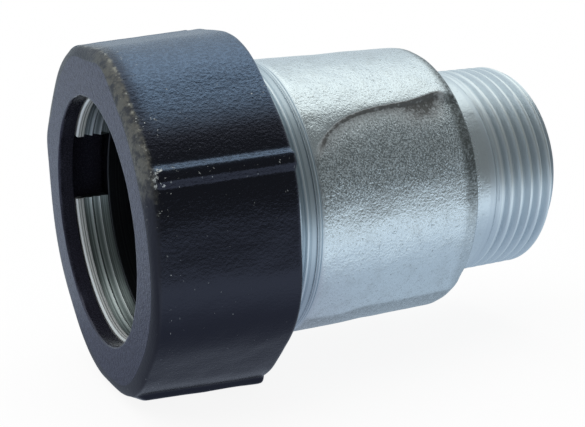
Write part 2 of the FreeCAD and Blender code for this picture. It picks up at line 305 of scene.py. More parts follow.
# The union nut: face, uneven front edge, ribbed octagon, rear edge, thread, cone and lip, from the front of
# the outside round to the front of the inside
def makeNut():
    ribs = [nut["ribAt"] + full / nut["ribs"] * i for i in range(nut["ribs"])]
    angles = columnsNear(ribs, nut["fineHalf"], nut["fine"], nut["coarse"])

    # Outside: the lower of the ribbed octagon and the front and rear edges. The front edge rises from the
    # face by the power law 1 - (1 - t)^p, to the power 1 / p, with t from 0 to 1 along its length. The rows
    # are closest over the two edges.
    widest = nut["edgeWide"]
    start = widest * (1 - np.cos(np.linspace(0.06, math.pi / 2, 15)))
    rear = nut["rearRound"]
    tail = nutBack - rear + rear * np.sin(np.linspace(0, math.pi / 2 - 0.05, 6))
    middle = np.linspace(widest + 2.9, nutBack - rear - 0.25, 28)
    outX = np.concatenate([start, widest + np.arange(1, 10) * 0.27, middle, tail])
    x = np.repeat(outX[:, None], len(angles), axis=1)
    octagon = octagonRadius(x, angles)
    off = np.min([np.abs(awayFrom(angles, rib)) for rib in ribs], axis=0)
    aside = octagon * np.sin(np.minimum(off, 1.0))[None, :]
    crest = 1 - ease(nut["ribFlat"], nut["ribFlat"] + nut["ribFlank"], aside)
    waves = castWaves(x, angles, radius=31.5, longest=16, shortest=2.2, count=90, seed=nut["seed"])
    r = octagon + nut["ribTop"] * crest * ease(nut["ribFrom"], nut["ribStart"], x) + nut["waveHeight"] * waves
    face = faceRadius(angles)[None, :]
    edge = edgeLength(angles)[None, :]
    t = np.clip(x / edge, 0, 1)
    power = nut["edgeFullness"]
    rise = octagonRadius(edge, angles) - face
    front = face + rise * (1 - (1 - t) ** power) ** (1 / power)
    front = front + nut["edgeSlope"] * np.maximum(x - edge, 0)
    r = roundMin(r, front + nut["edgeWaveHeight"] * waves * t, nut["edgeRound"])
    drop = np.maximum(x - (nutBack - rear), 0)
    r = r - (rear - np.sqrt(np.maximum(rear**2 - drop**2, 0)))

    # Masks: the front edge, the upper side, the top with its painted sheen, the crown without wear, the
    # upper flank of the near rib with its painted highlight, and the line where the front edge meets the
    # outside
    mask = nut["masks"]
    bevel = 1 - ease(edge - mask["bevelBefore"], edge + mask["bevelAfter"], x)
    upper = nearTo(angles, mask["topAt"], mask["upper"])
    loss = mask["topLoss"] * hump(x - edge - mask["topLossAt"], mask["topLossWidth"])
    top = nearTo(angles, mask["topAt"], mask["top"]) * (1 - loss)
    crown = nearTo(angles, mask["crownAt"], mask["crown"])
    above = octagon * np.sin(awayFrom(angles, nut["ribAt"]))[None, :] * (np.cos(angles) > 0)[None, :]
    glint = hump(above - nut["ribFlat"] - 0.5 * nut["ribFlank"], mask["glintWidth"])
    glint = glint * ease(mask["glintFrom"], mask["glintTo"], x)
    outline = hump(x - edge, mask["outlineWidth"]) * upper
    masks = dict(bevel=bevel, rib=crest, upper=upper, top=top, crown=crown, glint=glint, outline=outline)
    parts = [(x, r, masks)]

    # Rear face and chamfer, then the thread towards the front, its step, the cone and the lip
    thread = nut["major"]
    chamferStart = nutBack - nut["rearChamfer"]
    corners = [(nutBack, nut["rearOuter"], 0), (nutBack, nut["rearInner"], 0.25)]
    corners += [(chamferStart + 0.1, thread + 0.25, 0)]
    parts.append((*rowsOf(roundedPath(corners, 0.8), angles), {}))
    x = helixRows(nut["coneEnd"] + 0.7, chamferStart, nut["threadAt"], nut["pitch"], metricPhases, angles)
    x = x[::-1]
    along = fromCrest(x, angles, nut["threadAt"], nut["pitch"])
    r = thread + 0.03 - metricThreadDepth(along, nut["pitch"])
    r = roundMax(r, np.full_like(r, nut["minor"]), 0.08)
    r = np.maximum(r, thread + 0.2 - (chamferStart - x))
    parts.append((x, r, dict(inside=1)))
    corners = [(nut["coneEnd"] + 0.6, thread + 0.1, 0), (nut["coneEnd"], thread + 0.1, 0.2)]
    corners += [(nut["coneEnd"], nut["coneBack"], 0.2), (nut["lipBack"], nut["coneFront"], 0.25)]
    corners += [(nut["lipBack"], nut["lipBore"], 0.2), (0, nut["lipBore"], 0.35)]
    corners += [(0, nut["faceRadius"], 0)]
    x, r = rowsOf(roundedPath(corners, 0.9), angles)
    level = x[:1] * 0
    ragged = castWaves(level, angles, radius=22.5, longest=9, shortest=1.1, count=60, seed=nut["seed"] + 1)
    r = r + nut["raggedHeight"] * ragged * hump(x, 0.5) * hump(r - nut["lipBore"], 0.6)
    inner = nut["lipBore"] + 0.6
    stretch = (face - 0.06 - inner) / (nut["faceRadius"] - inner)
    r = np.where((x < 0.001) & (r > inner), inner + (r - inner) * stretch, r)
    flat = (1 - ease(0.05, 0.4, x)) * ease(nut["lipBore"] + 0.05, nut["lipBore"] + 0.4, r)
    parts.append((x, r, dict(face=flat, inside=1 - flat)))
    names = ["bevel", "rib", "face", "inside", "upper", "top", "crown", "glint", "outline"]
    x, r, masks = joinParts(parts, names)
    return makeSkin("nut_casting", x, r, angles, masks)


clamp = dict(
    bore=22.3, wall=2.2, land=1.5, teeth=3, toothDepth=0.7, lead=0.35, cone=math.radians(15),
    gapFrom=math.radians(145), gapTo=math.radians(180), columns=300,
)


# The clamp ring: split, coned outside, with sawteeth inside that lean towards the pressure ring
def makeClampRing():
    start = clamp["gapTo"]
    span = full - (clamp["gapTo"] - clamp["gapFrom"])
    angles = np.linspace(start, start + span, clamp["columns"])
    bore = clamp["bore"]
    outer = bore + clamp["wall"]
    back = outer + (ringBack - ringFront) * math.tan(clamp["cone"])
    corners = [(ringFront, bore + 1.2, 0), (ringFront, outer, 0.25), (ringBack, back, 0.2)]
    pitch = (ringBack - ringFront - clamp["land"]) / clamp["teeth"]
    for i in range(clamp["teeth"]):
        at = ringBack - pitch * i
        corners.append((at, bore + (0.12 if i == 0 else 0), 0.06))
        corners.append((at - pitch + 0.12, bore + clamp["toothDepth"], 0.1))
    corners += [(ringBack - pitch * clamp["teeth"], bore, 0.06)]
    corners += [(ringFront + clamp["lead"], bore, 0.12), (ringFront, bore + clamp["lead"], 0.12)]
    corners += [(ringFront, bore + 1.1, 0)]
    x, r = rowsOf(roundedPath(corners, 0.6, 4), angles)
    edge = 1 - ease(0.02, 0.14, r - bore)
    land = 1 - ease(ringFront + clamp["land"] - 0.1, ringFront + clamp["land"] + 0.1, x)
    return makeSkin("clamp_ring_turned", x, r, angles, dict(edge=edge, land=land), split=True)


pressure = dict(inner=22.2, outer=24.6, rounding=0.3, columns=257)
seal = dict(inner=21.9, outer=24.6, rounding=0.8, columns=257)


# A plain ring with rounded edges between two stations
def makeRing(name, front, back, ring):
    angles = np.linspace(0, full, ring["columns"])
    inner, outer, rounding = ring["inner"], ring["outer"], ring["rounding"]
    middle = (inner + outer) / 2
    corners = [(front, middle, 0), (front, outer, rounding), (back, outer, rounding)]
    corners += [(back, inner, rounding), (front, inner, rounding), (front, middle - 0.05, 0)]
    x, r = rowsOf(roundedPath(corners, 1.2), angles)
    return makeSkin(name, x, r, angles, {})


body = dict(
    mouth=24.9, mouthLead=0.6, threadLead=26.4, crest=27.96, pitch=2.0, threadAt=0.0, threadEnd=28.55,
    relief=25.9, reliefEnd=29.4, reliefSlope=1.7, band=26.2, bandEnd=32.4,
    bandRings=[
        (29.75, 0.1, 0.08), (29.85, -0.08, 0.08), (30.2, -0.08, 0.08), (30.35, 0, 0.1), (31.1, 0, 0.1),
        (31.25, -0.12, 0.08), (31.45, 0.12, 0.1), (31.7, -0.1, 0.1), (32.0, 0.14, 0.1), (32.3, -0.12, 0.1),
    ],
    castFrom=32.3, castTo=33.2, barrel=26.35, shoulderAt=66.35, shoulderRound=3.0,
    neck=20.87, neckFillet=1.3, endFace=18.95, water=17.3, pipeStop=58.05, socket=21.6,
    outletGauge=20.56, taper=1 / 32, outletPitch=2.309, outletRound=0.317, outletCrest=76.8,
    outletStart=71.6, outletFull=75.4, runOutSlope=0.34, blank=20.98, blankFull=74, endChamfer=0.95,
    waveHeight=0.045, neckWaveHeight=0.02, seed=11,
    fineAt=(40, 140), fineHalf=math.radians(8.5), fine=math.radians(0.42), coarse=math.radians(1.9),
    # The field on each side of the barrel: the arc that cuts it, its two edges, where it ends, its ledge,
    # lip and deeper patch, and then the masks that go with it
    side=dict(
        arc=28.24, centre=1.89, centreFrom=30.95, slope=math.radians(3.5),
        upper=18.3, upperDrop=5.4, upperFrom=34, upperLength=5.4, upperRise=1.1, riseFrom=53, riseTo=63.5,
        lower=19.2, lowerRise=0.9, lowerAt=38, lowerWidth=5,
        frontFrom=33, frontTo=37, backFrom=60.8, backTo=63.3, softStep=1.8, crisper=1.4,
        ledge=0.15, ledgeFall=1.5, lip=0.5, lipFall=2.2,
        patch=0.4, patchBelow=2.0, patchReach=1.9, patchAt=60.0, patchWidth=3.0,
        lineFrom=32.7, lineTo=35.2, shade=0.8, shadeFall=1.5,
        shadeDeep=0.6, shadeBelow=1.6, shadeReach=2.2, shadeAt=57.5, shadeWidth=4.5,
        smoothBelow=0.9, smoothReach=1.5, smoothFall=1.3, coarseEnd=18.0, coarseFull=12.8,
    ),
)


# Height of the upper edge of a side field at each station, which rises fast from the front and again before
# the shoulder, and of its lower edge, which is nearly level
def fieldEdges(x):
    side = body["side"]
    upper = side["upper"] - side["upperDrop"] * np.exp(-(x - side["upperFrom"]) / side["upperLength"])
    upper = upper + side["upperRise"] * ease(side["riseFrom"], side["riseTo"], x)
    lower = side["lower"] + side["lowerRise"] * hump(x - side["lowerAt"], side["lowerWidth"])
    return upper, lower


# Radius of the barrel, and its masks. In each side field a wide arc, whose centre lies past the axis and
# moves back as the field goes deeper, cuts the round barrel, and the cut ends in a ledge under a raised lip.
# The masks are a painted shadow along and under the ledge, the smooth metal beside it, the coarse part of the
# field below it, and painted shade on the underside past the field's lower edge.
def barrelRadius(x, angles):
    side = body["side"]
    rounding = body["shoulderRound"]
    over = np.maximum(x - (body["shoulderAt"] - rounding), 0)
    barrel = body["barrel"] - rounding + np.sqrt(np.maximum(rounding**2 - over**2, 0))
    centre = side["centre"] + (x - side["centreFrom"]) * math.tan(side["slope"])
    sine = np.sin(angles)[None, :]
    cosine = np.abs(np.cos(angles))[None, :]
    arc = -centre * cosine + np.sqrt(side["arc"] ** 2 - (centre * sine) ** 2)
    height = np.abs(body["barrel"] * sine)
    upper = ease(-0.3, 0.3, sine)
    upperEdge, lowerEdge = fieldEdges(x)
    edge = lowerEdge + (upperEdge - lowerEdge) * upper
    backEnd = 1 - ease(side["backFrom"], side["backTo"], x)
    ends = ease(side["frontFrom"], side["frontTo"], x) * backEnd
    # Width of the step at the edge: crisp only along the upper ledge
    soft = side["softStep"] - side["crisper"] * upper * ends
    inside = 1 - ease(edge - soft, edge + 0.1, height)
    below = np.maximum(edge - height, 0)
    groove = side["ledge"] * np.exp(-below / side["ledgeFall"]) * ends * upper
    patch = side["patch"] * hump(below - side["patchBelow"], side["patchReach"])
    patch = patch * hump(x - side["patchAt"], side["patchWidth"]) * upper
    depth = (np.maximum(body["barrel"] - arc, 0) + groove + patch) * inside
    above = np.maximum(height - edge, 0)
    lip = side["lip"] * np.exp(-above / side["lipFall"]) * (1 - inside) * ends * upper
    surface = body["barrel"] - depth + lip

    # Painted shadow: a dark line at the ledge's step, shade under the ledge and a deeper patch of it before
    # the shoulder
    line = ease(edge - soft - 0.25, edge - soft + 0.05, height) * (1 - ease(edge - 0.02, edge + 0.14, height))
    deep = side["shadeDeep"] * hump(below - side["shadeBelow"], side["shadeReach"])
    deep = deep * hump(x - side["shadeAt"], side["shadeWidth"])
    shade = inside * (side["shade"] * np.exp(-below / side["shadeFall"]) + deep)
    lineEnds = ease(side["lineFrom"], side["lineTo"], x) * backEnd
    creviceShade = np.maximum(line * lineEnds, shade * ends) * upper
    under = hump(below - side["smoothBelow"], side["smoothReach"]) * inside
    smooth = np.maximum(under, np.exp(-above / side["smoothFall"]) * (1 - inside)) * ends * upper
    field = inside * ease(edge - side["coarseEnd"], edge - side["coarseFull"], height) * upper
    # Painted shade on the underside, past the field's lower edge
    shadedUnderside = ease(lowerEdge - 0.3, lowerEdge + 0.5, height) * (1 - upper)
    return roundMin(surface, barrel, 0.5), creviceShade, smooth, field, shadedUnderside


# The fitting body: mouth and thread under the nut, band, barrel with its side fields, shoulder, neck, outlet
# thread, and back through the waterway, the socket and the mouth
def makeBody():
    edges = [math.radians(direction) for direction in body["fineAt"]]
    angles = columnsNear(edges, body["fineHalf"], body["fine"], body["coarse"])
    parts = []

    # Front face and the thread under the nut
    corners = [(bodyFront + 0.2, body["mouth"] + 0.4, 0), (bodyFront, body["mouth"] + 0.65, 0.1)]
    corners += [(bodyFront, body["threadLead"], 0)]
    parts.append((*rowsOf(roundedPath(corners, 0.8), angles), dict(cut=1)))
    x = helixRows(bodyFront + 0.05, body["threadEnd"], body["threadAt"], body["pitch"], metricPhases, angles)
    along = fromCrest(x, angles, body["threadAt"], body["pitch"])
    r = body["crest"] - metricThreadDepth(along, body["pitch"])
    r = np.minimum(r, body["threadLead"] + (x - bodyFront))
    r = np.minimum(r, body["relief"] + 0.2 + (body["threadEnd"] - x) * body["reliefSlope"])
    parts.append((x, r, dict(cut=1)))

    # Run-out groove and turned band with its fine rings
    band = body["band"]
    corners = [(body["threadEnd"] + 0.15, body["relief"], 0)]
    corners += [(body["reliefEnd"] - 0.25, body["relief"], 0.15), (body["reliefEnd"], band + 0.1, 0.1)]
    corners += [(at, band + rise, rounding) for at, rise, rounding in body["bandRings"]]
    corners += [(body["bandEnd"], band - 0.1, 0)]
    x, r = rowsOf(roundedPath(corners, 0.7, 4), angles)
    # groove gives a painted shade in the recessed rings and the run-out groove
    parts.append((x, r, dict(cut=1, groove=1 - np.clip((r - band + 0.1) / 0.2, 0, 1))))

    # Cast barrel up to the shoulder's flat
    shoulder = body["shoulderAt"] - body["shoulderRound"]
    rounded = shoulder + body["shoulderRound"] * np.sin(np.linspace(0.12, math.pi / 2 - 0.08, 10))
    barrelX = np.concatenate([[32.55, 32.75, 33.1], np.linspace(33.6, shoulder, 56), rounded])
    x = np.repeat(barrelX[:, None], len(angles), axis=1)
    waves = castWaves(x, angles, body["barrel"], longest=15, shortest=2.8, count=70, seed=body["seed"])
    rise = ease(body["castFrom"], body["castTo"], x)
    surface, creviceShade, smooth, field, shadedUnderside = barrelRadius(x, angles)
    r = surface - 0.25 * (1 - rise) + body["waveHeight"] * waves * rise * (1 - 0.7 * smooth)
    # Painted shade on the shoulder's rounding, weaker on its lower side, and on the underside below the field
    rim = ease(shoulder - 0.6, shoulder + 1.0, x) * (0.25 + 0.75 * ease(-0.4, 0.3, np.sin(angles)))[None, :]
    rim = np.maximum(rim, 0.55 * shadedUnderside * rise)
    parts.append((x, r, dict(cut=1 - rise, creviceShade=creviceShade, smooth=smooth, field=field, rim=rim)))

    # Shoulder's flat, fillet and neck, then the outlet thread, whose grooves grow out of the neck
    corners = [(body["shoulderAt"], body["barrel"] - body["shoulderRound"] - 0.15, 0)]
    corners += [(body["shoulderAt"], body["neck"], body["neckFillet"])]
    corners += [(body["outletStart"] - 0.1, body["neck"], 0)]
    x, r = rowsOf(roundedPath(corners, 0.9, 8), angles)
    waves = castWaves(x, angles, body["neck"], longest=9, shortest=2.2, count=40, seed=body["seed"] + 1)
    r = r + body["neckWaveHeight"] * waves
    parts.append((x, r, dict(cut=0.5 * ease(67, 70, x))))
    pitch = body["outletPitch"]
    x = helixRows(body["outletStart"], outletEnd, body["outletCrest"], pitch, pipePhases, angles)
    along = fromCrest(x, angles, body["outletCrest"], pitch)
    depth = pipeThreadDepth(along, pitch, body["outletRound"])
    crest = body["outletGauge"] + (outletEnd - x) * body["taper"]
    runOut = np.maximum(body["outletFull"] - x, 0) * body["runOutSlope"]
    r = crest - depth + runOut
    grown = ease(body["outletStart"], body["blankFull"], x)
    blank = body["blank"] - (body["blank"] - body["neck"]) * (1 - grown)
    r = roundMin(r, blank, 0.12)
    chamfer = outletEnd - body["endChamfer"]
    r = np.minimum(r, body["outletGauge"] + 0.03 - np.maximum(x - chamfer, 0))
    ridges = ease(body["outletStart"], body["outletFull"], x)
    # Crests lighter, partly rubbed zinc and partly a painted highlight, and roots darker, a painted shade
    crestWearAndHighlight = hump(along, 0.19) * ridges
    rootShade = 0.7 * hump(pitch / 2 - along, 0.2) * ridges
    parts.append((x, r, dict(cut=1, crest=crestWearAndHighlight, root=rootShade)))

    # End face, waterway, pipe stop, socket and mouth
    mouth = body["mouth"]
    corners = [(outletEnd, body["endFace"], 0), (outletEnd, body["water"], 0.5)]
    corners += [(body["pipeStop"], body["water"], 0.3), (body["pipeStop"], body["socket"], 0.3)]
    corners += [(seat, body["socket"], 0.25), (seat, mouth, 0.25)]
    corners += [(bodyFront + body["mouthLead"], mouth, 0.15), (bodyFront + 0.25, mouth + 0.35, 0)]
    x, r = rowsOf(roundedPath(corners, 3.0), angles)
    # bore gives the inside a painted shade, which fades out just inside the outlet's end
    parts.append((x, r, dict(cut=1, bore=1 - ease(outletEnd - 3, outletEnd - 0.3, x))))
    names = ["cut", "bore", "creviceShade", "smooth", "field", "rim", "groove", "crest", "root"]
    x, r, masks = joinParts(parts, names)
    return makeSkin("body_casting", x, r, angles, masks)


# A value in a shader: Python's operators on it add Math nodes
class Value:
    def __init__(self, shader, socket):
        self.shader = shader
        self.socket = socket

    def math(self, operation, *others):
        inputs = dict(enumerate([self, *others]))
        return self.shader.add("ShaderNodeMath", {"operation": operation}, inputs)

    def __add__(self, other):
        return self.math("ADD", other)

    __radd__ = __add__

    def __sub__(self, other):
        return self.math("SUBTRACT", other)

    def __mul__(self, other):
        return self.math("MULTIPLY", other)

    __rmul__ = __mul__

    def __pow__(self, other):
        return self.math("POWER", other)

    def __rsub__(self, other):
        return self.shader.add("ShaderNodeMath", {"operation": "SUBTRACT"}, {0: other, 1: self})

    def __neg__(self):
        return 0 - self

    def ease(self, low, high):
        inputs = {"Value": self, "From Min": low, "From Max": high}
        return self.shader.add("ShaderNodeMapRange", {"interpolation_type": "SMOOTHSTEP"}, inputs)

    def lowest(self, other):
        return self.math("MINIMUM", other)

    def highest(self, other):
        return self.math("MAXIMUM", other)


# The nodes of one material or world
class Shader:
    def __init__(self, owner):
        owner.use_nodes = True
        self.tree = owner.node_tree
        self.tree.nodes.clear()

    # Adds a node: its settings first, then the values or links of its sockets, and returns one output
    def add(self, kind, settings=None, inputs=None, output=0):
        node = self.tree.nodes.new(kind)
        for key, value in (settings or {}).items():
            setattr(node, key, value)
        for key, value in (inputs or {}).items():
            if isinstance(value, Value):
                self.tree.links.new(value.socket, node.inputs[key])
            else:
                node.inputs[key].default_value = value
        return Value(self, node.outputs[output])

    def attribute(self, name):
        return self.add("ShaderNodeAttribute", {"attribute_name": name}, output="Fac")

    # Object coordinates in millimetres, stretched by a factor for each axis
    def place(self, stretch=(1, 1, 1)):
        coordinates = self.add("ShaderNodeTexCoord", output="Object")
        scale = tuple(1000 * s for s in stretch)
        return self.add("ShaderNodeVectorMath", {"operation": "MULTIPLY"}, {0: coordinates, 1: scale})

    # Noise from 0 to 1, with its scale per millimetre
    def noise(self, place, perMm, detail=3.0, roughness=0.6, distortion=0.0):
        inputs = {"Vector": place, "Scale": perMm, "Detail": detail, "Roughness": roughness}
        inputs["Distortion"] = distortion
        return self.add("ShaderNodeTexNoise", None, inputs)

    # The outputs of Light Path by name
    def rays(self):
        node = self.add("ShaderNodeLightPath").socket.node
        return {socket.name: Value(self, socket) for socket in node.outputs}

    # The X, Y and Z of a vector
    def parts(self, vector):
        first = self.add("ShaderNodeSeparateXYZ", None, {0: vector})
        return [Value(self, socket) for socket in first.socket.node.outputs]

    # Fine lines round the axis, as a tool leaves them: noise along x, and along the radius on a flat
    def turnedLines(self, place, perMm):
        x, y, z = self.parts(place)
        radialShare = 0.83  # not 1, so that the noise also varies along a chamfer of 45 degrees
        along = x + (y * y + z * z) ** 0.5 * radialShare
        inputs = {"W": along, "Scale": perMm, "Detail": 4.0}
        return self.add("ShaderNodeTexNoise", {"noise_dimensions": "1D"}, inputs)

    # Colours mixed by a factor
    def mix(self, factor, first, second):
        inputs = {0: factor, 6: first, 7: second}
        return self.add("ShaderNodeMix", {"data_type": "RGBA"}, inputs, 2)

    # Normal of a height in millimetres
    def bump(self, height):
        return self.add("ShaderNodeBump", None, {"Height": height, "Distance": mm, "Strength": 1.0})

    def finish(self, shader, kind="ShaderNodeOutputMaterial"):
        output = self.tree.nodes.new(kind)
        self.tree.links.new(shader.socket, output.inputs["Surface"])


# Gives a piece its finish: sockets of the Principled shader, as values or links
def paint(piece, name, sockets):
    material = bpy.data.materials.new(name)
    shader = Shader(material)
    shader.finish(shader.add("ShaderNodeBsdfPrincipled", None, sockets(shader)))
    piece.data.materials.append(material)


# crest: lighter thread crests, partly rubbed zinc and partly painted highlight; root: painted shade in the
# roots
# groove: painted shade in the recessed rings of the turned band and its run-out groove
# inner: painted shade inside the waterway, socket and mouth
# ledgeShadow and its settings: the painted shadow along and under the ledge, darker, rougher and less
# metallic
# rim and its settings: painted shade on the shoulder's rounding and the underside, on rougher metal
zinc = dict(
    light=(0.80, 0.86, 0.885, 1), dull=(0.50, 0.52, 0.51, 1), speck=(0.14, 0.14, 0.13, 1),
    coarse=(0.25, 0.28, 0.285, 1), rim=(0.15, 0.16, 0.155, 1), ledgeShadow=(0.055, 0.056, 0.052, 1),
    turned=(0.74, 0.80, 0.84, 1), groove=(0.40, 0.48, 0.54, 1), crest=(0.95, 1.0, 1.0, 1),
    root=(0.48, 0.54, 0.58, 1), inner=(0.10, 0.11, 0.12, 1),
    grainNoise=dict(perMm=2.3), wideNoise=dict(perMm=0.33, detail=4.0, roughness=0.55),
    fineNoise=dict(perMm=4.5), coarseNoise=dict(perMm=1.8, detail=4.0, roughness=0.68),
    gritNoise=dict(perMm=3.4, detail=2.0), ledgeShadowNoise=dict(perMm=1.4), linesPerMm=3.0,
    pitNoise=dict(perMm=1.7, detail=2.5, roughness=0.5, distortion=0.6),
    grainHeight=0.12, wideHeight=0.14, fineHeight=0.012, pitDepth=0.04, coarseHeight=0.16, gritHeight=0.03,
    lineHeight=0.02, turnedFineHeight=0.006, smoothLoss=0.75, sandyLoss=0.25,
    dullWide=(0.45, 0.75), wideShare=0.25, dullGrain=(0.5, 0.72), grainShare=0.45,
    gritLimits=(0.45, 0.57), gritShare=0.85, pitLimits=(0.66, 0.74), pitShare=0.35,
    rimLimits=(0.35, 0.6), rimLeast=0.5, rimVaried=0.5,
    ledgeShadowLimits=(0.35, 0.6), ledgeShadowLeast=0.8, ledgeShadowVaried=0.5, ledgeShadowShare=0.95, ledgeShadowMatt=0.9,
    castRoughness=0.14, turnedRoughness=0.35, grainRough=0.12, lineRough=0.10, rimRough=0.2, ledgeShadowRough=0.4,
)


# Bright zinc over a cast skin: grain, shallow waves and pits, and turned lines where it was cut
def zincSockets(s):
    place = s.place()
    cut = s.attribute("cut")
    cast = 1 - cut
    field = s.attribute("field")
    smooth = s.attribute("smooth")
    grain = s.noise(place, **zinc["grainNoise"])
    wide = s.noise(place, **zinc["wideNoise"])
    fine = s.noise(place, **zinc["fineNoise"])
    coarse = s.noise(place, **zinc["coarseNoise"])
    grit = s.noise(place, **zinc["gritNoise"])
    lines = s.turnedLines(place, zinc["linesPerMm"])
    pits = s.noise(place, **zinc["pitNoise"]).ease(*zinc["pitLimits"])
    # Painted shadow along and under the ledge, broken up by noise
    grime = s.noise(place, **zinc["ledgeShadowNoise"]).ease(*zinc["ledgeShadowLimits"])
    creviceShade = (s.attribute("creviceShade") * (zinc["ledgeShadowLeast"] + zinc["ledgeShadowVaried"] * grime)).lowest(1)
    # Painted shade on the shoulder's rounding and the underside, varied by noise
    rim = s.attribute("rim") * (zinc["rimLeast"] + coarse.ease(*zinc["rimLimits"]) * zinc["rimVaried"])

    rough = cast * (1 - zinc["smoothLoss"] * smooth)
    height = grain * zinc["grainHeight"] + wide * zinc["wideHeight"] + fine * zinc["fineHeight"]
    height = rough * (height - pits * zinc["pitDepth"])
    height = height + rough * field * (coarse * zinc["coarseHeight"] + grit * zinc["gritHeight"])
    height = height + cut * (lines * zinc["lineHeight"] + fine * zinc["turnedFineHeight"])

    dullness = wide.ease(*zinc["dullWide"]) * zinc["wideShare"]
    dullness = dullness + grain.ease(*zinc["dullGrain"]) * zinc["grainShare"]
    # Painted shade in the band's grooves
    turned = s.mix(s.attribute("groove"), zinc["turned"], zinc["groove"])
    # Thread crests lighter, rubbed and painted highlight, and roots darker, painted shade
    turned = s.mix(s.attribute("root"), s.mix(s.attribute("crest"), turned, zinc["crest"]), zinc["root"])
    colour = s.mix(cut, s.mix(dullness * rough, zinc["light"], zinc["dull"]), turned)
    sandy = cast * field * (1 - zinc["sandyLoss"] * smooth)
    colour = s.mix(grit.ease(*zinc["gritLimits"]) * sandy * zinc["gritShare"], colour, zinc["coarse"])
    colour = s.mix(pits * cast * zinc["pitShare"], colour, zinc["speck"])
    colour = s.mix(rim, colour, zinc["rim"])
    colour = s.mix(creviceShade * zinc["ledgeShadowShare"], colour, zinc["ledgeShadow"])
    # Painted shade inside the waterway, socket and mouth
    colour = s.mix(s.attribute("bore"), colour, zinc["inner"])

    roughness = cast * (zinc["castRoughness"] + grain * zinc["grainRough"])
    roughness = roughness + cut * (zinc["turnedRoughness"] + lines * zinc["lineRough"])
    roughness = roughness + rim * zinc["rimRough"] + creviceShade * zinc["ledgeShadowRough"]
    metal = 1 - creviceShade * zinc["ledgeShadowMatt"]
    return {"Base Color": colour, "Metallic": metal, "Roughness": roughness, "Normal": s.bump(height)}


coat = dict(
    # paintedSheen is painted light: the lighter bluish coat on the top and the near rib's upper flank, over
    # the dark low
    paintedSheen=(0.135, 0.185, 0.270, 1), low=(0.036, 0.037, 0.050, 1), face=(0.090, 0.091, 0.134, 1),
    faceDark=(0.048, 0.048, 0.074, 1), edge=(0.046, 0.046, 0.058, 1), bevel=(0.135, 0.131, 0.118, 1),
    worn=(0.30, 0.29, 0.25, 1), chip=(0.47, 0.48, 0.47, 1), inside=(0.041, 0.041, 0.062, 1),
    grainNoise=dict(perMm=1.9, roughness=0.62), grainStretch=(0.85, 1, 1),
    fineNoise=dict(perMm=3.6, detail=4.0, roughness=0.65), wideNoise=dict(perMm=0.16, roughness=0.5),
    chipNoise=dict(perMm=1.6, distortion=0.4), patchNoise=dict(perMm=0.7, detail=4.0, roughness=0.65),
    faceNoise=dict(perMm=1.1, detail=4.0, roughness=0.7), rubNoise=dict(perMm=0.8, detail=4.0, roughness=0.7),
    linesPerMm=2.2, roughBelow=0.3, roughAbove=0.7,
    grainHeight=0.17, fineHeight=0.03, faceGrainHeight=0.22, faceFineHeight=0.05, lineHeight=0.03,
    ribChips=0.05, outlineChips=0.11, wideChips=0.06, wideLimits=(0.5, 0.8), upperChips=0.015,
    rowChips=0.055, rowAt=3.4, rowReach=5, chipLimits=(0.73, 0.78),
    wearLimits=(0.65, 0.98), crownLoss=0.95, patchLimits=(0.38, 0.6), patchVaried=0.75, patchLeast=0.25,
    grainLimits=(0.56, 0.44), grainShare=0.3, faceLimits=(0.34, 0.6), edgeShare=0.9,
    rubLimits=(0.48, 0.66), rubShare=0.8, metal=1.0, wornMetal=0.6,
    roughness=0.22, fineRough=0.10, faceRough=0.14, bevelRough=0.16,
)


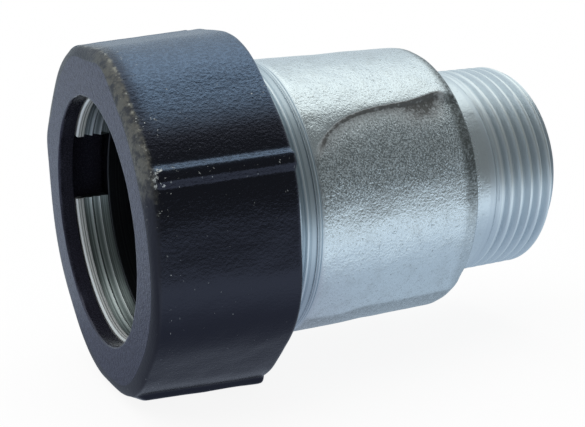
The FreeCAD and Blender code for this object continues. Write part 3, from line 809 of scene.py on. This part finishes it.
# Dark coat over rough cast iron, finer on the face, worn brown on the front edge, with pale chips, and with a
# painted sheen on top and a painted highlight on the near rib's upper flank
def coatSockets(s):
    place = s.place()
    face = s.attribute("face")
    bevel = s.attribute("bevel")
    inside = s.attribute("inside")
    upper = s.attribute("upper")
    outline = s.attribute("outline")
    grain = s.noise(s.place(coat["grainStretch"]), **coat["grainNoise"])
    fine = s.noise(place, **coat["fineNoise"])
    lines = s.turnedLines(place, coat["linesPerMm"])

    rough = (1 - inside) * (1 - face) * (coat["roughBelow"] + coat["roughAbove"] * upper)
    height = rough * (grain * coat["grainHeight"] + fine * coat["fineHeight"])
    height = height + face * (fine * coat["faceFineHeight"] + grain * coat["faceGrainHeight"])
    height = height + inside * lines * coat["lineHeight"]

    # Chips: more of them on the ribs, at the front edge, in patches and in a row round the nut behind it
    wide = s.noise(place, **coat["wideNoise"]).ease(*coat["wideLimits"])
    x = s.parts(place)[0]
    row = 1 - ((x - coat["rowAt"]) ** 2).ease(0, coat["rowReach"])
    where = s.attribute("rib") * coat["ribChips"] + outline * coat["outlineChips"]
    where = where + wide * coat["wideChips"] + upper * coat["upperChips"]
    chips = s.noise(place, **coat["chipNoise"]) + (where + row * coat["rowChips"])
    chips = chips.ease(*coat["chipLimits"]) * (1 - inside) * (1 - face)

    # Wear: patches on the upper part of the front edge, and rubbed metal along its outline
    patches = s.noise(place, **coat["patchNoise"]).ease(*coat["patchLimits"])
    worn = bevel * upper.ease(*coat["wearLimits"]) * (1 - coat["crownLoss"] * s.attribute("crown"))
    worn = worn * (patches * coat["patchVaried"] + coat["patchLeast"])
    rubbed = outline * upper * s.noise(place, **coat["rubNoise"]).ease(*coat["rubLimits"]) * coat["rubShare"]

    # Painted sheen on the top and painted highlight on the near rib's upper flank
    colour = s.mix(s.attribute("top").highest(s.attribute("glint")), coat["low"], coat["paintedSheen"])
    colour = s.mix(grain.ease(*coat["grainLimits"]) * coat["grainShare"], colour, coat["low"])
    mottled = s.noise(place, **coat["faceNoise"]).ease(*coat["faceLimits"])
    mottled = s.mix(mottled, coat["faceDark"], coat["face"])
    colour = s.mix(face, s.mix(inside, colour, coat["inside"]), mottled)
    colour = s.mix(worn, s.mix(bevel * coat["edgeShare"], colour, coat["edge"]), coat["bevel"])
    colour = s.mix(rubbed, colour, coat["worn"])
    colour = s.mix(chips, colour, coat["chip"])

    bare = worn.highest(rubbed).highest(chips).highest(inside)
    metal = coat["metal"] - (coat["metal"] - coat["wornMetal"]) * bare
    roughness = coat["roughness"] + coat["fineRough"] * fine
    roughness = roughness + face * coat["faceRough"] + bevel * coat["bevelRough"]
    return {"Base Color": colour, "Metallic": metal, "Roughness": roughness, "Normal": s.bump(height)}


ringSteel = dict(
    # land and edge are partly rubbed steel and partly painted highlight, flank is painted shade
    edge=(0.84, 0.88, 0.87, 1), flank=(0.15, 0.172, 0.168, 1), flankLight=(0.34, 0.38, 0.37, 1),
    land=(0.96, 1.0, 1.0, 1), streak=(0.36, 0.39, 0.39, 1), linesPerMm=4.0, lineHeight=0.012,
    flankLimits=(0.46, 0.62), landLimits=(0.38, 0.58), landMatt=0.6,
    fineNoise=dict(perMm=3.0), roughness=0.32, fineRough=0.12,
)


# Turned steel: bright on the land and the edges of the teeth, partly rubbed and partly a painted highlight,
# and greenish grey in between, darkened there to a painted shade
def ringSockets(s):
    place = s.place()
    lines = s.turnedLines(place, ringSteel["linesPerMm"])
    fine = s.noise(place, **ringSteel["fineNoise"])
    flank = s.mix(lines.ease(*ringSteel["flankLimits"]), ringSteel["flank"], ringSteel["flankLight"])
    colour = s.mix(s.attribute("edge"), flank, ringSteel["edge"])
    turned = s.mix(lines.ease(*ringSteel["landLimits"]), ringSteel["streak"], ringSteel["land"])
    colour = s.mix(s.attribute("land"), colour, turned)
    roughness = ringSteel["roughness"] + ringSteel["fineRough"] * fine
    metal = 1 - ringSteel["landMatt"] * s.attribute("land")
    normal = s.bump(lines * ringSteel["lineHeight"])
    return {"Base Color": colour, "Metallic": metal, "Roughness": roughness, "Normal": normal}


shadedPressureSteel = dict(
    colour=(0.055, 0.058, 0.065, 1), lighter=(0.09, 0.093, 0.10, 1), lineLimits=(0.35, 0.7),
    linesPerMm=3.0, lineHeight=0.01, roughness=0.4, lineRough=0.1,
)


# Dull plated steel with faint turned lines, its colour darkened to a painted shade
def pressureSockets(s):
    lines = s.turnedLines(s.place(), shadedPressureSteel["linesPerMm"])
    streaks = lines.ease(*shadedPressureSteel["lineLimits"])
    colour = s.mix(streaks, shadedPressureSteel["colour"], shadedPressureSteel["lighter"])
    roughness = shadedPressureSteel["roughness"] + shadedPressureSteel["lineRough"] * lines
    normal = s.bump(lines * shadedPressureSteel["lineHeight"])
    return {"Base Color": colour, "Metallic": 1.0, "Roughness": roughness, "Normal": normal}


rubber = dict(
    colour=(0.020, 0.020, 0.021, 1), bloom=(0.05, 0.05, 0.05, 1), bloomLimits=(0.4, 0.8), bloomShare=0.6,
    cloudNoise=dict(perMm=0.5, detail=4.0), fineNoise=dict(perMm=6.0, detail=2.0, roughness=0.5),
    fineHeight=0.01, roughness=0.55, cloudRough=0.2,
)


# Matt moulded rubber with a faint bloom
def rubberSockets(s):
    place = s.place()
    cloud = s.noise(place, **rubber["cloudNoise"])
    fine = s.noise(place, **rubber["fineNoise"])
    bloom = cloud.ease(*rubber["bloomLimits"]) * rubber["bloomShare"]
    colour = s.mix(bloom, rubber["colour"], rubber["bloom"])
    roughness = rubber["roughness"] + rubber["cloudRough"] * cloud
    return {"Base Color": colour, "Roughness": roughness, "Normal": s.bump(fine * rubber["fineHeight"])}


# Each piece, its finish, the body that it rides on and the node that it replaces
nutPiece = makeNut()
paint(nutPiece, "darkCoat", coatSockets)
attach(nutPiece, "nut")
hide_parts("union_nut")

clampPiece = makeClampRing()
paint(clampPiece, "brightRing", ringSockets)
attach(clampPiece, "grip")
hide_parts("clamp_ring")

pressurePiece = makeRing("pressure_ring_turned", ringBack, pushBack, pressure)
paint(pressurePiece, "shadedPressureSteel", pressureSockets)
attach(pressurePiece, "grip")
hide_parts("pressure_ring")

sealPiece = makeRing("seal_ring_moulded", pushBack, seat, seal)
paint(sealPiece, "blackRubber", rubberSockets)
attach(sealPiece, "fitting")
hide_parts("seal_ring")

bodyPiece = makeBody()
paint(bodyPiece, "zincCasting", zincSockets)
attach(bodyPiece, "fitting")
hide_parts("fitting_body")
print("pieces made")


studio = dict(
    level=0.55, sun=1.45, sunSpread=math.radians(70), sunFrom=(-0.25, 0.15, 1.0),
    back=(0.62, 0.70, 0.75, 1), overhead=(1.12, 1.20, 1.19, 1), front=(0.174, 0.190, 0.194, 1),
    frontFrom=-0.19, frontTo=-0.13, floor=(0.75, 0.79, 0.83, 1), floorGloss=(0.80, 0.92, 1.02, 1),
    clothFrom=112, clothTo=178, shade=(0.43, 0.52, 0.62, 1), nutShade=(0.37, 0.42, 0.51, 1),
    nutShadeFrom=30, nutShadeTo=62, shadeFrom=30, shadeTo=66, ceilingFrom=0.55, ceilingTo=0.92,
    floorWhite=0.9, floorHalf=2000,
)


# Floor: pale and matt with the object's shadow on it, and nine tenths plain white to the camera. Metal sees
# it darker close to the object, a painted shadow, at one level further out, and the dark of the room past the
# pale cloth.
def makeFloor():
    half = studio["floorHalf"] * mm
    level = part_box("union_nut")[0].z
    corners = [(-half, -half, level), (half, -half, level), (half, half, level), (-half, half, level)]
    mesh = bpy.data.meshes.new("floor")
    mesh.from_pydata(corners, [], [(0, 1, 2, 3)])
    floor = bpy.data.objects.new("floor", mesh)
    bpy.context.scene.collection.objects.link(floor)
    material = bpy.data.materials.new("paleFloor")
    s = Shader(material)
    rays = s.rays()
    x, y = s.parts(s.place())[:2]
    beyond = (-y).ease(studio["clothFrom"], studio["clothTo"])
    away = (y * y).ease(studio["shadeFrom"] ** 2, studio["shadeTo"] ** 2)
    shade = s.mix(x.ease(studio["nutShadeFrom"], studio["nutShadeTo"]), studio["nutShade"], studio["shade"])
    gloss = s.mix(beyond, s.mix(away, shade, studio["floorGloss"]), studio["front"])
    matt = s.mix(rays["Is Camera Ray"], studio["floor"], (1, 1, 1, 1))
    matt = s.add("ShaderNodeBsdfDiffuse", None, {"Color": matt})
    seen = s.mix(rays["Is Camera Ray"], gloss, (1, 1, 1, 1))
    seen = s.add("ShaderNodeEmission", None, {"Color": seen, "Strength": 1.0})
    sharp = rays["Is Glossy Ray"].highest(rays["Is Transmission Ray"])
    share = rays["Is Camera Ray"] * studio["floorWhite"] + sharp
    s.finish(s.add("ShaderNodeMixShader", None, {0: share, 1: matt, 2: seen}))
    mesh.materials.append(material)


# World: white to the camera. Metal sees a bright wall and ceiling behind the object, and the dark of the
# room on the camera's side, from the floor up to the ceiling's edge. Everything else gets one plain level.
def makeWorld():
    world = bpy.data.worlds.new("studio")
    bpy.context.scene.world = world
    s = Shader(world)
    y, z = s.parts(s.add("ShaderNodeTexCoord", output="Generated"))[1:]
    wall = s.mix(z.ease(studio["ceilingFrom"], studio["ceilingTo"]), studio["back"], studio["overhead"])
    gloss = s.mix(y.ease(studio["frontFrom"], studio["frontTo"]), studio["front"], wall)
    rays = s.rays()
    sharp = rays["Is Glossy Ray"].highest(rays["Is Transmission Ray"])
    plain = (studio["level"], studio["level"], studio["level"], 1)
    colour = s.mix(rays["Is Camera Ray"], s.mix(sharp, plain, gloss), (1, 1, 1, 1))
    s.finish(s.add("ShaderNodeBackground", None, {"Color": colour, "Strength": 1.0}), "ShaderNodeOutputWorld")


# A wide soft lamp overhead, which metal doesn't reflect: it sees the world's ceiling instead
def makeSun():
    lamp = bpy.data.lights.new("ceiling", "SUN")
    lamp.energy = studio["sun"]
    lamp.angle = studio["sunSpread"]
    made = bpy.data.objects.new("ceiling", lamp)
    made.rotation_euler = Vector(studio["sunFrom"]).to_track_quat("Z", "Y").to_euler()
    made.visible_glossy = False
    bpy.context.scene.collection.objects.link(made)


makeFloor()
makeWorld()
makeSun()

# The camera stands where the photograph was taken from
view = dict(
    place=(-54.6, -191.9, 44.1), forward=(0.42979, 0.8759, -0.2196), up=(0.13788, 0.1767, 0.9746),
    lens=69.26, sensor=36, clip=0.01,
)
forward = Vector(view["forward"]).normalized()
right = forward.cross(Vector(view["up"])).normalized()
up = right.cross(forward)
camera = bpy.data.objects.new("camera", bpy.data.cameras.new("camera"))
camera.data.lens = view["lens"]
camera.data.sensor_width = view["sensor"]
camera.data.clip_start = view["clip"]
turn = Matrix((right, up, -forward)).transposed().to_4x4()
camera.matrix_world = Matrix.Translation(Vector(view["place"]) * mm) @ turn
bpy.context.scene.collection.objects.link(camera)
bpy.context.scene.camera = camera
bpy.context.scene.view_settings.view_transform = "Standard"

print("scene ready")
